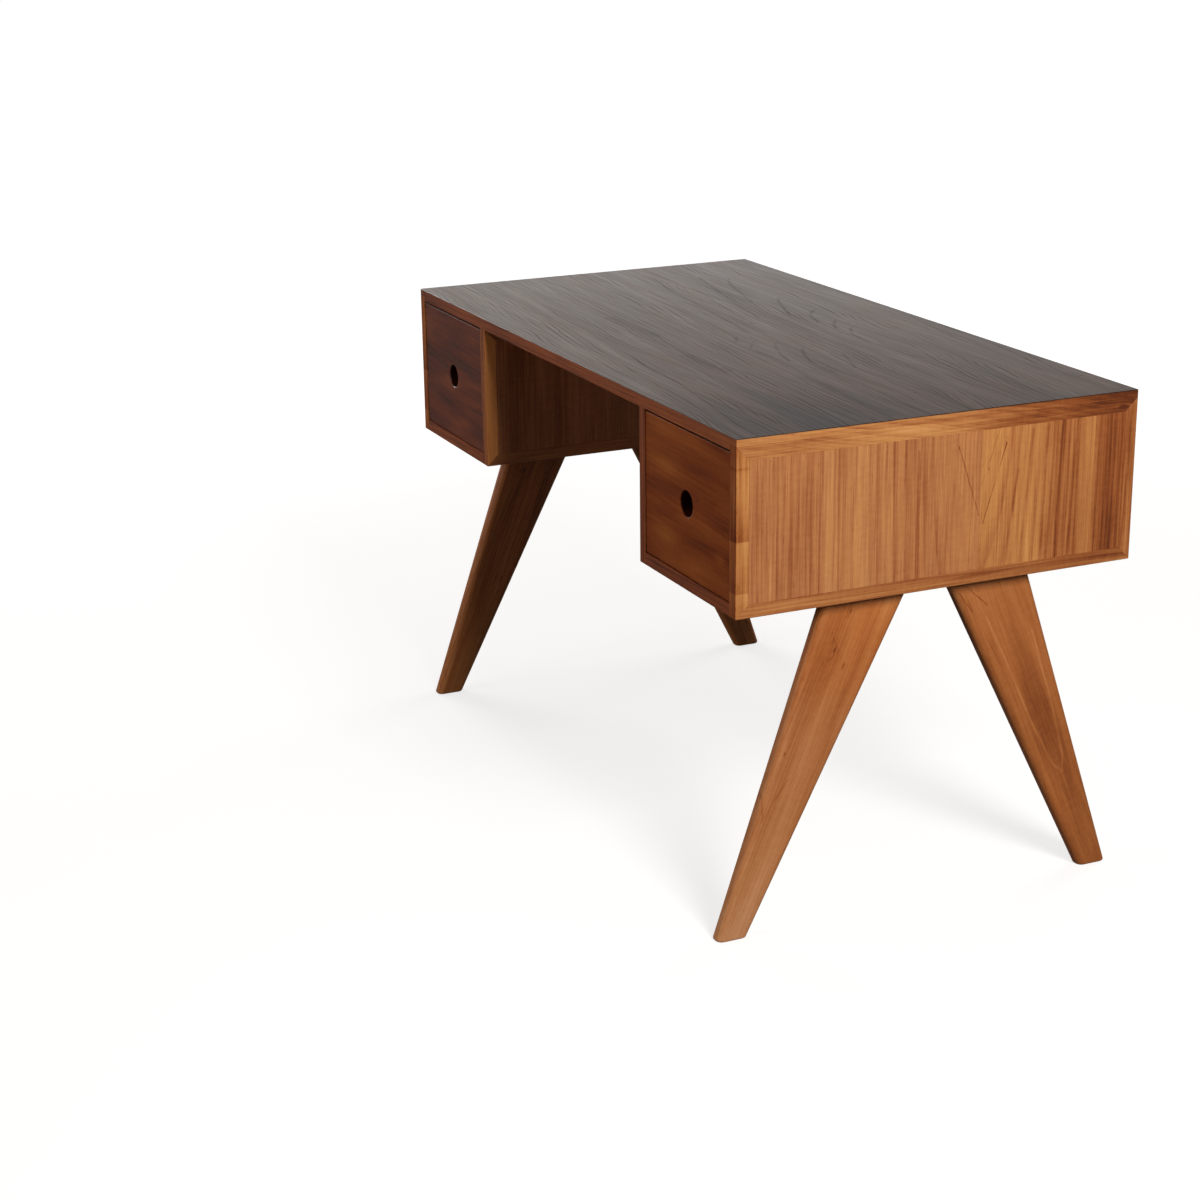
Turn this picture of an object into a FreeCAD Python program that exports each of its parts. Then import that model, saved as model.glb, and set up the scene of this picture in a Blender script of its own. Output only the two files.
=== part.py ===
import FreeCAD, Part
import os

# Writing desk: a lipped top on two pedestals with one drawer each, on splayed legs.
# Millimetres. Origin on the floor under the middle of the desk, +Z up, +Y to the back.
# The sitter is on the -Y side and looks along +Y, so +X is the right-hand end.

# Overall sizes
desk_length = 1220.0
desk_depth = 648.0
desk_height = 750.0
pedestal_width = 306.0
pedestal_height = 254.0        # from the top face down to the underside of the pedestals

# Boards of the case
top_thickness = 19.0           # with its veneer
veneer_thickness = 1.0
end_band_height = 11.0         # part of the top that runs over the end panels
panel_thickness = 19.0
bottom_thickness = 19.0
back_thickness = 16.0
lipping_width = 20.0           # solid strips round the top and the side panels
corner_radius = 1.4            # eased upright and lower corners of the case
top_edge_radius = 0.8          # eased rim of the top veneer
joint_ease = 0.3               # fine chamfer along the joints of the framed sides

# Legs: tapered boards that lean to the front and to the back
leg_thickness = 25.0
leg_inset = 27.0               # from the end panel's face in to the leg's face
leg_top_offset = 31.0          # from the middle of the depth to the leg's near edge
leg_top_width = 136.5
foot_reach = 335.4             # from the middle of the depth to the foot's far edge
foot_width = 49.0
leg_edge_radius = 10.0         # of the four long edges
leg_edge_share = 0.45          # most of a leg's thickness that an edge's radius may take
sole_edge_radius = 3.0

# Drawers
front_thickness = 20.0
front_recess = 1.0             # behind the front edges of the pedestal
front_gap_top = 3.0
front_gap_bottom = 1.5
front_gap_side = 1.5
front_edge_radius = 1.2
finger_hole_diameter = 38.0
finger_hole_radius = 2.0       # eased rim
drawer_back_gap = 51.0         # behind the closed drawer, to the pedestal's back panel
drawer_keep = 160.0            # length of the drawer that stays in when it is fully out
side_thickness = 14.0
side_drop = 12.0               # the sides end this far below the front's top edge
side_lap = 10.0                # length of the side that sits in the front's rebate
drawer_back_thickness = 12.0
drawer_bottom_thickness = 6.0
drawer_bottom_rise = 8.0       # under the drawer's bottom, down to the sides' lower edge
drawer_bottom_groove = 6.0

# Runners and stops
runner_height = 16.0
runner_bite = 6.0              # how far the runner reaches into the drawer's groove
runner_clear_top = 0.3         # under the groove's roof, which carries the drawer
runner_clear_bottom = 0.7
runner_clear_side = 1.0
runner_drop = 70.0             # from the drawer front's top edge down to the runner's top
stop_gap = 0.5                 # left at either end of the drawer's travel
stop_width = 40.0
stop_thickness = 18.0
stop_catch = 7.0               # overlap in height with the drawer's back
stop_screw_spacing = 20.0

# Fasteners
dowel_diameter = 8.0
dowel_depth = 18.0             # into a board's edge
dowel_cover = 4.0              # wood left beyond a dowel that runs into a board's face
dowel_margin = 70.0            # from a joint's end to its first dowel
dowels_per_side = 3
dowels_per_back = 2
pin_diameter = 5.0
pin_depth = 20.0
pin_margin = 28.0
pins_per_corner = 3
fit_clearance = 0.05           # round dowels, pins and screws in their holes
case_screw_diameter = 4.0
case_screw_head = 7.6
case_screw_cover = 7.0         # wood left beyond a small screw's point
case_screw_margin = 60.0
screws_per_runner = 3
leg_screw_diameter = 8.0
leg_screw_head = 15.0
leg_screw_bite = 68.0
screws_per_leg = 2

# Planes and edges that several pieces share
half_length = desk_length / 2
half_depth = desk_depth / 2
case_underside = desk_height - pedestal_height
top_underside = desk_height - top_thickness
veneer_underside = desk_height - veneer_thickness
end_panel_top = desk_height - end_band_height
bottom_face = case_underside + bottom_thickness
wall_outer = half_length - panel_thickness                    # faces of the drawer's opening
wall_inner = half_length - pedestal_width + panel_thickness
pedestal_inside = half_length - pedestal_width

front_face = -half_depth + front_recess
front_back = front_face + front_thickness
front_low = bottom_face + front_gap_bottom
front_high = top_underside - front_gap_top
side_outer = wall_outer - front_gap_side
side_inner = wall_inner + front_gap_side
side_high = front_high - side_drop
side_start = front_back - side_lap
drawer_floor = front_low + drawer_bottom_rise + drawer_bottom_thickness

runner_top = front_high - runner_drop
runner_reach = front_gap_side + runner_bite
runner_start = front_back + stop_gap
runner_end = half_depth - back_thickness
drawer_end = runner_end - drawer_back_gap
drawer_travel = drawer_end - front_face - drawer_keep

same_place = 1e-6              # lengths closer than this count as equal
Vector = FreeCAD.Vector
axis_x = Vector(1, 0, 0)
axis_y = Vector(0, 1, 0)
axis_z = Vector(0, 0, 1)

case = {}                      # pieces that stay still
drawers = {}                   # pieces that slide


def block(x0, x1, y0, y1, z0, z1):
    return Part.makeBox(x1 - x0, y1 - y0, z1 - z0, Vector(x0, y0, z0))


def plate(points, direction):
    return Part.Face(Part.makePolygon(points + points[:1])).extrude(direction)


def rod(diameter, start, direction, length):
    return Part.makeCylinder(diameter / 2, length, start, direction)


def spread(start, end, margin, count):
    first = start + margin
    step = (end - margin - first) / max(count - 1, 1)
    return [first + step * i for i in range(count)]


def edges_along(shape, direction):
    found = []
    for edge in shape.Edges:
        run = edge.lastVertex().Point - edge.firstVertex().Point
        if run.cross(direction).Length < same_place * run.Length:
            found.append(edge)
    return found


def edges_at(shape, direction, level):
    found = []
    for edge in shape.Edges:
        ends = [vertex.Point.dot(direction) for vertex in edge.Vertexes]
        if max(abs(end - level) for end in ends) < same_place:
            found.append(edge)
    return found


def eased(shape, level):
    # Chamfers the face at x = level along its joints. Edges on the outline of the case stay sharp.
    joints = []
    for edge in edges_at(shape, axis_x, level):
        middle = edge.CenterOfMass
        outline = [abs(middle.y) - half_depth, middle.z - case_underside, middle.z - veneer_underside]
        if min(abs(distance) for distance in outline) > same_place:
            joints.append(edge)
    return shape.makeChamfer(joint_ease, joints)


def screw(diameter, head, length, start, direction, clearance=0.0):
    # A countersunk head, a plain shank and a point. The start is the middle of the head's face.
    shank = diameter / 2 + clearance
    rim = head / 2 + clearance
    cone = rim - shank
    point = diameter
    body = Part.makeCone(rim, shank, cone, start, direction)
    body = body.fuse(Part.makeCylinder(shank, length - point, start, direction))
    tip = start + direction * (length - point)
    return body.fuse(Part.makeCone(shank, 0, point + clearance, tip, direction)).removeSplitter()


def mirrored(shape):
    return shape.mirror(Vector(0, 0, 0), axis_x)


def both_sides(group, name, shape):
    group["right_" + name] = shape
    group["left_" + name] = mirrored(shape)


def framed_panel(x0, x1, high, show_face):
    # A panel in a frame of four mitred strips, standing on the pedestal's lower edge.
    front, back = -half_depth, half_depth
    inner_front, inner_back = front + lipping_width, back - lipping_width
    low, inner_low, inner_high = case_underside, case_underside + lipping_width, high - lipping_width
    outlines = {
        "panel": [(inner_front, inner_low), (inner_back, inner_low),
                  (inner_back, inner_high), (inner_front, inner_high)],
        "front_strip": [(front, low), (inner_front, inner_low), (inner_front, inner_high), (front, high)],
        "back_strip": [(back, low), (back, high), (inner_back, inner_high), (inner_back, inner_low)],
        "top_strip": [(front, high), (inner_front, inner_high), (inner_back, inner_high), (back, high)],
        "bottom_strip": [(front, low), (back, low), (inner_back, inner_low), (inner_front, inner_low)],
    }
    width = Vector(x1 - x0, 0, 0)
    boards = {}
    for name, outline in outlines.items():
        boards[name] = eased(plate([Vector(x0, y, z) for y, z in outline], width), show_face)
    return boards


# Eased outer shapes, which the case's boards are cut to
pedestal_shape = block(pedestal_inside, half_length, -half_depth, half_depth, case_underside, desk_height)
pedestal_edges = edges_along(pedestal_shape, axis_z) + edges_at(pedestal_shape, axis_z, case_underside)
pedestal_shape = pedestal_shape.makeFillet(corner_radius, pedestal_edges)

top_shape = block(-half_length, half_length, -half_depth, half_depth, top_underside, desk_height)
top_shape = top_shape.makeFillet(corner_radius, edges_along(top_shape, axis_z))
top_shape = top_shape.makeFillet(top_edge_radius, edges_at(top_shape, axis_z, desk_height))

# Top: veneer, core and four mitred lippings
lip_x = half_length - panel_thickness
lip_y = half_depth - lipping_width
core_height = veneer_underside - top_underside
top_pieces = {
    "top_veneer": block(-half_length, half_length, -half_depth, half_depth, veneer_underside, desk_height),
    "top_board": block(-lip_x, lip_x, -lip_y, lip_y, top_underside, veneer_underside),
}
end_rebates = [
    block(lip_x, half_length, -half_depth, half_depth, top_underside, end_panel_top),
    block(-half_length, -lip_x, -half_depth, half_depth, top_underside, end_panel_top),
]
for name, sign in (("front", -1), ("back", 1)):
    outline = [(-half_length, half_depth), (half_length, half_depth), (lip_x, lip_y), (-lip_x, lip_y)]
    corners = [Vector(x, sign * y, top_underside) for x, y in outline]
    lipping = plate(corners, axis_z * core_height)
    top_pieces["top_" + name + "_lipping"] = lipping.cut(Part.makeCompound(end_rebates))
for name, sign in (("left", -1), ("right", 1)):
    outline = [(half_length, -half_depth), (half_length, half_depth), (lip_x, lip_y), (lip_x, -lip_y)]
    corners = [Vector(sign * x, y, end_panel_top) for x, y in outline]
    lipping = plate(corners, axis_z * (veneer_underside - end_panel_top))
    top_pieces["top_" + name + "_lipping"] = eased(lipping, sign * half_length)
for name, shape in top_pieces.items():
    case[name] = shape.common(top_shape)

# Pedestals: framed outer and inner sides, a lipped bottom and a back between them
pedestal_pieces = {}
for name, shape in framed_panel(wall_outer, half_length, end_panel_top, half_length).items():
    pedestal_pieces["outer_" + name] = shape
for name, shape in framed_panel(pedestal_inside, wall_inner, top_underside, pedestal_inside).items():
    pedestal_pieces["inner_" + name] = shape
bottom_front = -half_depth + lipping_width
pedestal_pieces["bottom_panel"] = block(
    wall_inner, wall_outer, bottom_front, half_depth, case_underside, bottom_face)
pedestal_pieces["bottom_lipping"] = block(
    wall_inner, wall_outer, -half_depth, bottom_front, case_underside, bottom_face)
pedestal_pieces["back_panel"] = block(
    wall_inner, wall_outer, runner_end, half_depth, bottom_face, top_underside)
for name, shape in pedestal_pieces.items():
    both_sides(case, name, shape.common(pedestal_shape))

# Wooden runners on both walls of each drawer's opening
runner_low = runner_top - runner_height
both_sides(case, "outer_runner", block(
    wall_outer - runner_reach, wall_outer, runner_start, runner_end, runner_low, runner_top))
both_sides(case, "inner_runner", block(
    wall_inner, wall_inner + runner_reach, runner_start, runner_end, runner_low, runner_top))

# Stop block under the top: the drawer's back meets it when the drawer is fully out
stop_low = side_high - stop_catch
stop_back = drawer_end - drawer_back_thickness - drawer_travel - stop_gap
stop_middle = (wall_outer + wall_inner) / 2
both_sides(case, "drawer_stop", block(
    stop_middle - stop_width / 2, stop_middle + stop_width / 2,
    stop_back - stop_thickness, stop_back, stop_low, top_underside))


def leg(sign):
    outline = [(leg_top_offset, case_underside), (leg_top_offset + leg_top_width, case_underside),
               (foot_reach, 0), (foot_reach - foot_width, 0)]
    inner_face = half_length - leg_inset - leg_thickness
    corners = [Vector(inner_face, sign * y, z) for y, z in outline]
    shape = plate(corners, axis_x * leg_thickness)
    long_edges = [edge for edge in shape.Edges if edge.BoundBox.ZLength > case_underside / 2]
    radius_limit = leg_edge_share * min(leg_thickness, foot_width)
    shape = shape.makeFillet(min(leg_edge_radius, radius_limit), long_edges)
    return shape.makeFillet(sole_edge_radius, edges_at(shape, axis_z, 0))


both_sides(case, "front_leg", leg(-1))
both_sides(case, "back_leg", leg(1))

# Drawer: a lapped front with a finger hole, grooved sides, a back and a thin bottom
hole_x = (side_outer + side_inner) / 2
hole_z = (front_low + front_high) / 2
drawer_front = block(side_inner, side_outer, front_face, front_back, front_low, front_high)
drawer_front = drawer_front.makeFillet(front_edge_radius, edges_at(drawer_front, axis_y, front_face))
finger_hole = rod(finger_hole_diameter, Vector(hole_x, front_face, hole_z), axis_y, front_thickness)
drawer_front = drawer_front.cut(finger_hole)
circles = [edge for edge in drawer_front.Edges if isinstance(edge.Curve, Part.Circle)]
hole_rims = [edge for edge in circles if abs(edge.Curve.Radius * 2 - finger_hole_diameter) < same_place]
drawer_front = drawer_front.makeFillet(finger_hole_radius, hole_rims)

inside_outer = side_outer - side_thickness
inside_inner = side_inner + side_thickness
side_blocks = {
    "outer": block(inside_outer, side_outer, side_start, drawer_end, front_low, side_high),
    "inner": block(side_inner, inside_inner, side_start, drawer_end, front_low, side_high),
}
drawer_front = drawer_front.cut(Part.makeCompound(list(side_blocks.values())))

groove_low = runner_low - runner_clear_bottom
groove_high = runner_top + runner_clear_top
groove_depth = runner_bite + runner_clear_side
runner_grooves = Part.makeCompound([
    block(side_outer - groove_depth, side_outer, front_back, drawer_end, groove_low, groove_high),
    block(side_inner, side_inner + groove_depth, front_back, drawer_end, groove_low, groove_high),
])
drawer_bottom = block(
    inside_inner - drawer_bottom_groove, inside_outer + drawer_bottom_groove,
    front_back - drawer_bottom_groove, drawer_end,
    drawer_floor - drawer_bottom_thickness, drawer_floor)
drawer_back = block(
    inside_inner, inside_outer, drawer_end - drawer_back_thickness, drawer_end, drawer_floor, side_high)

# Pins through the drawer's sides into the ends of its front and back
lap_middle = front_back - side_lap / 2
back_middle = drawer_end - drawer_back_thickness / 2
pin_spots = [(lap_middle, z) for z in spread(drawer_floor, side_high, pin_margin, pins_per_corner)]
for low, high in ((drawer_floor, groove_low), (groove_high, side_high)):
    pin_spots.append((back_middle, (low + high) / 2))
pin_length = side_thickness + pin_depth


def pin_set(diameter):
    rods = []
    for y, z in pin_spots:
        rods.append(rod(diameter, Vector(side_outer, y, z), -axis_x, pin_length))
        rods.append(rod(diameter, Vector(side_inner, y, z), axis_x, pin_length))
    return Part.makeCompound(rods)


pin_holes = pin_set(pin_diameter + 2 * fit_clearance)
drawer_pieces = {
    "drawer_front": drawer_front.cut(drawer_bottom),
    "drawer_outer_side": side_blocks["outer"].cut(runner_grooves).cut(drawer_bottom),
    "drawer_inner_side": side_blocks["inner"].cut(runner_grooves).cut(drawer_bottom),
    "drawer_back": drawer_back,
}
for name, shape in drawer_pieces.items():
    both_sides(drawers, name, shape.cut(pin_holes))
both_sides(drawers, "drawer_bottom", drawer_bottom)
both_sides(drawers, "drawer_pins", pin_set(pin_diameter))

# Dowels between the case's boards: where each starts, which way it runs and how long it is
dowel_spots = []
dowel_reach_top = veneer_underside - end_panel_top - dowel_cover
dowel_reach_panel = panel_thickness - dowel_cover
inner_panel_middle = (pedestal_inside + wall_inner) / 2
outer_panel_middle = (wall_outer + half_length) / 2
bottom_middle = (case_underside + bottom_face) / 2
back_panel_middle = (runner_end + half_depth) / 2
for y in spread(-half_depth, half_depth, dowel_margin, dowels_per_side):
    for x, seat in ((inner_panel_middle, top_underside), (outer_panel_middle, end_panel_top)):
        low_end = Vector(x, y, seat - dowel_depth)
        dowel_spots.append((low_end, axis_z, dowel_depth + dowel_reach_top))
    for wall, inward in ((wall_outer, -axis_x), (wall_inner, axis_x)):
        wall_end = Vector(wall, y, bottom_middle) - inward * dowel_reach_panel
        dowel_spots.append((wall_end, inward, dowel_reach_panel + dowel_depth))
for z in spread(bottom_face, top_underside, dowel_margin, dowels_per_back):
    for wall, inward in ((wall_outer, -axis_x), (wall_inner, axis_x)):
        wall_end = Vector(wall, back_panel_middle, z) - inward * dowel_reach_panel
        dowel_spots.append((wall_end, inward, dowel_reach_panel + dowel_depth))


def dowel_set(diameter):
    return [rod(diameter, start, direction, length) for start, direction, length in dowel_spots]


# Small screws through the runners into the side panels, and through the stops into the top
case_screw_spots = []
runner_middle = (runner_low + runner_top) / 2
runner_screw_length = runner_reach + panel_thickness - case_screw_cover
stop_screw_length = veneer_underside - stop_low - case_screw_cover
for y in spread(runner_start, runner_end, case_screw_margin, screws_per_runner):
    outer_start = Vector(wall_outer - runner_reach, y, runner_middle)
    inner_start = Vector(wall_inner + runner_reach, y, runner_middle)
    case_screw_spots.append((outer_start, axis_x, runner_screw_length))
    case_screw_spots.append((inner_start, -axis_x, runner_screw_length))
for sign in (-1, 1):
    stop_screw_x = stop_middle + sign * stop_screw_spacing / 2
    stop_start = Vector(stop_screw_x, stop_back - stop_thickness / 2, stop_low)
    case_screw_spots.append((stop_start, axis_z, stop_screw_length))

# Long screws from inside the pedestals down into the legs
leg_screw_spots = []
leg_middle = half_length - leg_inset - leg_thickness / 2
lean = (foot_reach - foot_width - leg_top_offset) / case_underside
near_edge = leg_top_offset + lean * leg_screw_bite
far_edge = leg_top_offset + leg_top_width
for i in range(screws_per_leg):
    y = near_edge + (far_edge - near_edge) * (i + 0.5) / screws_per_leg
    for sign in (-1, 1):
        leg_screw_spots.append((Vector(leg_middle, sign * y, bottom_face), -axis_z,
                                bottom_thickness + leg_screw_bite))


def screw_set(spots, diameter, head, clearance=0.0):
    return [screw(diameter, head, length, start, direction, clearance) for start, direction, length in spots]


fasteners = {
    "case_dowels": dowel_set(dowel_diameter),
    "case_screws": screw_set(case_screw_spots, case_screw_diameter, case_screw_head),
    "leg_screws": screw_set(leg_screw_spots, leg_screw_diameter, leg_screw_head),
}
holes = dowel_set(dowel_diameter + 2 * fit_clearance)
holes += screw_set(case_screw_spots, case_screw_diameter, case_screw_head, fit_clearance)
holes += screw_set(leg_screw_spots, leg_screw_diameter, leg_screw_head, fit_clearance)
holes += [mirrored(hole) for hole in holes]

# Drill every fixed board where a fastener passes through it
for name, shape in case.items():
    crossing = [hole for hole in holes if shape.BoundBox.intersect(hole.BoundBox)]
    if crossing:
        case[name] = shape.cut(Part.makeCompound(crossing))
for name, shapes in fasteners.items():
    case[name] = Part.makeCompound(shapes + [mirrored(shape) for shape in shapes])

pieces = {**case, **drawers}
os.makedirs("parts", exist_ok=True)
for name, shape in pieces.items():
    if len(shape.Solids) == 1:
        shape = shape.Solids[0]
    shape.exportStep("parts/" + name + ".step")
print(len(pieces), "pieces written, drawer travel", drawer_travel)
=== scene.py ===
import bpy
from mathutils import Matrix, Vector


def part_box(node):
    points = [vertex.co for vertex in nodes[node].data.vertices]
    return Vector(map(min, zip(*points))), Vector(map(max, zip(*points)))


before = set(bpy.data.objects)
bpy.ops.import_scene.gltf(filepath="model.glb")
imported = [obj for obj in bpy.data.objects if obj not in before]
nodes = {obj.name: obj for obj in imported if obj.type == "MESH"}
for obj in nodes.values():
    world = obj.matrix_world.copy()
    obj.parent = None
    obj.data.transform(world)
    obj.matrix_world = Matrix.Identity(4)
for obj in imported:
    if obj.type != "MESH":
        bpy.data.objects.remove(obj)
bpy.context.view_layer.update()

bpy.ops.object.select_all(action="DESELECT")
print("frame loaded:", len(nodes), "boards and fasteners")


def span(node, axis):
    # a board's two faces along an axis, in millimetres
    return [round(corner["XYZ".index(axis)] * 1000, 2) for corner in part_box(node)]


# Small helpers for node trees

def wire(tree, socket, value):
    if isinstance(value, bpy.types.NodeSocket):
        tree.links.new(value, socket)
    else:
        socket.default_value = value


def put(tree, kind, inputs=None, **settings):
    node = tree.nodes.new(kind)
    for name, value in settings.items():
        setattr(node, name, value)
    for name, value in (inputs or {}).items():
        wire(tree, node.inputs[name], value)
    return node


def useGroup(tree, group, inputs):
    return put(tree, "ShaderNodeGroup", inputs, node_tree=group).outputs


def calc(tree, operation, *values, clamp=False):
    node = put(tree, "ShaderNodeMath", operation=operation, use_clamp=clamp)
    for socket, value in zip(node.inputs, values):
        wire(tree, socket, value)
    return node.outputs[0]


def inverse(tree, share):
    return calc(tree, "SUBTRACT", 1.0, share)


def vector(tree, operation, *values, scale=None):
    node = put(tree, "ShaderNodeVectorMath", operation=operation)
    for socket, value in zip(node.inputs, values):
        wire(tree, socket, value)
    if scale is not None:
        wire(tree, node.inputs["Scale"], scale)
    single = operation in ("DOT_PRODUCT", "LENGTH", "DISTANCE")
    return node.outputs["Value" if single else "Vector"]


def split(tree, place):
    return put(tree, "ShaderNodeSeparateXYZ", {0: place}).outputs


def between(tree, value, low, high, smooth=True):
    # 0 below low, 1 above high
    curve = "SMOOTHSTEP" if smooth else "LINEAR"
    node = put(tree, "ShaderNodeMapRange", {
        "Value": value, "From Min": low, "From Max": high}, clamp=True, interpolation_type=curve)
    return node.outputs[0]


def cloud(tree, place, stretch, detail):
    # soft noise about 0, from -1 to 1, stretched in millimetres along each axis
    node = put(tree, "ShaderNodeTexNoise", {
        "Vector": vector(tree, "DIVIDE", place, stretch), "Scale": 1.0, "Detail": detail})
    return calc(tree, "MULTIPLY_ADD", node.outputs[0], 2.0, -1.0)


def strand(tree, position, detail=0.0):
    # the same along one line
    node = put(tree, "ShaderNodeTexNoise", {
        "W": position, "Scale": 1.0, "Detail": detail}, noise_dimensions="1D")
    return calc(tree, "MULTIPLY_ADD", node.outputs[0], 2.0, -1.0)


def shifted(tree, place, seed, shift):
    # each board gets its own stretch of the pattern
    along, across = shift
    offset = put(tree, "ShaderNodeCombineXYZ", {
        "X": calc(tree, "MULTIPLY", seed, along), "Y": calc(tree, "MULTIPLY", seed, across)})
    return vector(tree, "ADD", place, offset.outputs[0])


def stain(colour):
    # a colour as read off a screen, 0 to 255, as Blender's linear values
    linear = []
    for value in colour:
        share = value / 255
        linear.append(share / 12.92 if share <= 0.04045 else ((share + 0.055) / 1.055) ** 2.4)
    return (*linear, 1.0)


def ramp(tree, factor, stops, grey=False):
    node = put(tree, "ShaderNodeValToRGB", {"Fac": factor})
    bar = node.color_ramp
    while len(bar.elements) < len(stops):
        bar.elements.new(0.5)
    for element, (position, colour) in zip(bar.elements, stops):
        element.position = position
        element.color = (colour, colour, colour, 1.0) if grey else stain(colour)
    return node.outputs[0]


def tinted(tree, share, colour, tint):
    # the colour multiplied by a tint, as far as the share says
    node = put(tree, "ShaderNodeMix", {0: share, 6: colour, 7: tint}, data_type="RGBA", blend_type="MULTIPLY")
    return node.outputs[2]


def newGroup(name, inputs, outputs):
    tree = bpy.data.node_groups.new(name, "ShaderNodeTree")
    for socketName, kind, value in inputs:
        socket = tree.interface.new_socket(socketName, in_out="INPUT", socket_type="NodeSocket" + kind)
        socket.default_value = value
    for socketName in outputs:
        tree.interface.new_socket(socketName, in_out="OUTPUT", socket_type="NodeSocketFloat")
    given = tree.nodes.new("NodeGroupInput").outputs
    result = tree.nodes.new("NodeGroupOutput").inputs
    return tree, given, result


def newMaterial(name):
    material = bpy.data.materials.new(name)
    material.use_nodes = True
    return material, material.node_tree


def giveMaterial(node, material):
    for slot in nodes[node].material_slots:
        slot.link = "OBJECT"
        slot.material = material


# Shared effects, each a node group. Places are millimetres: x along the grain, y across, z into the board.

logWaves = {"slow": (330, 75, 75), "quick": (70, 13, 13), "quickShare": 0.09, "seedShift": (911.0, 37.0)}


def makeLogRings():
    # growth rings of a board sawn from a log, whose heart runs along x, a little tilted
    tree, given, result = newGroup("logRings", [
        ("Place", "Vector", (0, 0, 0)), ("Heart", "Vector", (0, 0, -60)), ("Rise", "Float", 0.03),
        ("Spacing", "Float", 6.0), ("Wander", "Float", 6.0), ("Seed", "Float", 0.0)], ["Rings"])
    place = shifted(tree, given["Place"], given["Seed"], logWaves["seedShift"])
    slow = cloud(tree, place, logWaves["slow"], 1.0)
    quick = cloud(tree, place, logWaves["quick"], 2.0)
    axes = split(tree, vector(tree, "SUBTRACT", given["Place"], given["Heart"]))
    across = calc(tree, "MULTIPLY_ADD", slow, given["Wander"], axes["Y"])
    depth = calc(tree, "MULTIPLY", axes["Z"], axes["Z"])
    radius = calc(tree, "SQRT", calc(tree, "MULTIPLY_ADD", across, across, depth))
    radius = calc(tree, "MULTIPLY_ADD", axes["X"], given["Rise"], radius)
    small = calc(tree, "MULTIPLY", given["Wander"], logWaves["quickShare"])
    radius = calc(tree, "MULTIPLY_ADD", quick, small, radius)
    wire(tree, result["Rings"], calc(tree, "DIVIDE", radius, given["Spacing"]))
    return tree


leafShape = {
    "foot": span("right_outer_panel", "Z")[0], "lean": 0.45, "reach": 50.0,  # lines lean more higher up
    "slow": (420, 46, 46), "quick": (120, 14, 14), "quickShare": 0.3,
    "spacing": 38.0, "closer": 1 / 7000, "closerSecond": 1 / 12000,  # rings close up away from the joint
    "calm": (-66.0, -40.0), "plain": (74.0, 48.0), "plainShare": 0.75,  # quiet wood beside the joint
    "secondStart": 31.0,  # the second leaf's first ring
}


def makeLeafRings():
    # two veneer leaves laid side by side: upright lines that lean over the joint, more the higher up
    tree, given, result = newGroup("leafRings", [
        ("Place", "Vector", (0, 0, 0)), ("Joint", "Float", 0.0), ("Wander", "Float", 2.0),
        ("Seed", "Float", 0.0)], ["Rings", "Calm", "Leaf"])
    axes = split(tree, given["Place"])
    slow = cloud(tree, given["Place"], leafShape["slow"], 1.0)
    quick = cloud(tree, given["Place"], leafShape["quick"], 2.0)
    side = calc(tree, "SUBTRACT", axes["Y"], given["Joint"])
    leaf = calc(tree, "GREATER_THAN", side, 0.0)
    away = calc(tree, "ABSOLUTE", side)
    nearness = calc(tree, "POWER", calc(tree, "DIVIDE", away, leafShape["reach"]), 3.0)
    nearness = calc(tree, "DIVIDE", leafShape["lean"], calc(tree, "ADD", nearness, 1.0))
    height = calc(tree, "MAXIMUM", calc(tree, "SUBTRACT", axes["X"], leafShape["foot"]), 0.0)
    bent = calc(tree, "SUBTRACT", away, calc(tree, "MULTIPLY", height, nearness))
    bent = calc(tree, "MULTIPLY_ADD", slow, given["Wander"], bent)
    small = calc(tree, "MULTIPLY", given["Wander"], leafShape["quickShare"])
    bent = calc(tree, "MULTIPLY_ADD", quick, small, bent)
    firstLeaf = calc(tree, "SUBTRACT", leafShape["plainShare"], leaf)
    plain = calc(tree, "MULTIPLY", between(tree, away, *leafShape["plain"]), firstLeaf, clamp=True)
    calm = between(tree, bent, *leafShape["calm"])
    wire(tree, result["Calm"], calc(tree, "SUBTRACT", calm, plain, clamp=True))
    outward = calc(tree, "MAXIMUM", bent, 0.0)
    count = calc(tree, "DIVIDE", bent, leafShape["spacing"])
    closer = calc(tree, "MULTIPLY_ADD", leaf, leafShape["closerSecond"], leafShape["closer"])
    count = calc(tree, "MULTIPLY_ADD", calc(tree, "MULTIPLY", outward, outward), closer, count)
    count = calc(tree, "ADD", count, calc(tree, "MULTIPLY", leaf, leafShape["secondStart"]))
    wire(tree, result["Rings"], calc(tree, "ADD", count, given["Seed"]))
    wire(tree, result["Leaf"], leaf)
    return tree


ringShape = {
    "seedShift": (613.0, 71.0), "seedRings": 5.7,
    "unevenPace": 0.37, "uneven": 0.55,  # rings differ in width
    "lateFull": 0.90, "lateEnd": (0.91, 1.0),  # late wood darkens slowly and ends sharply
    "weightPace": 7.31, "weight": 0.55, "fade": (0.30, -0.30), "bandPace": 0.21,
}
grainSize = {  # millimetres along the grain, across it and into the board
    "fade": (190, 34, 34), "fibre": (80, 1.5, 1.5), "streak": (150, 3.6, 3.6), "pore": (13, 0.8, 0.8),
    "ripple": (6.5, 17, 17), "blotch": (190, 36, 36),
}
grainShare = {
    "middleTone": 0.56, "streak": 0.9, "pore": (0.30, 0.62), "poreGrain": 0.5, "fibreGrain": -0.22,
    "streakHeight": 0.5, "lineDepth": 0.25,
}


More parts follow.
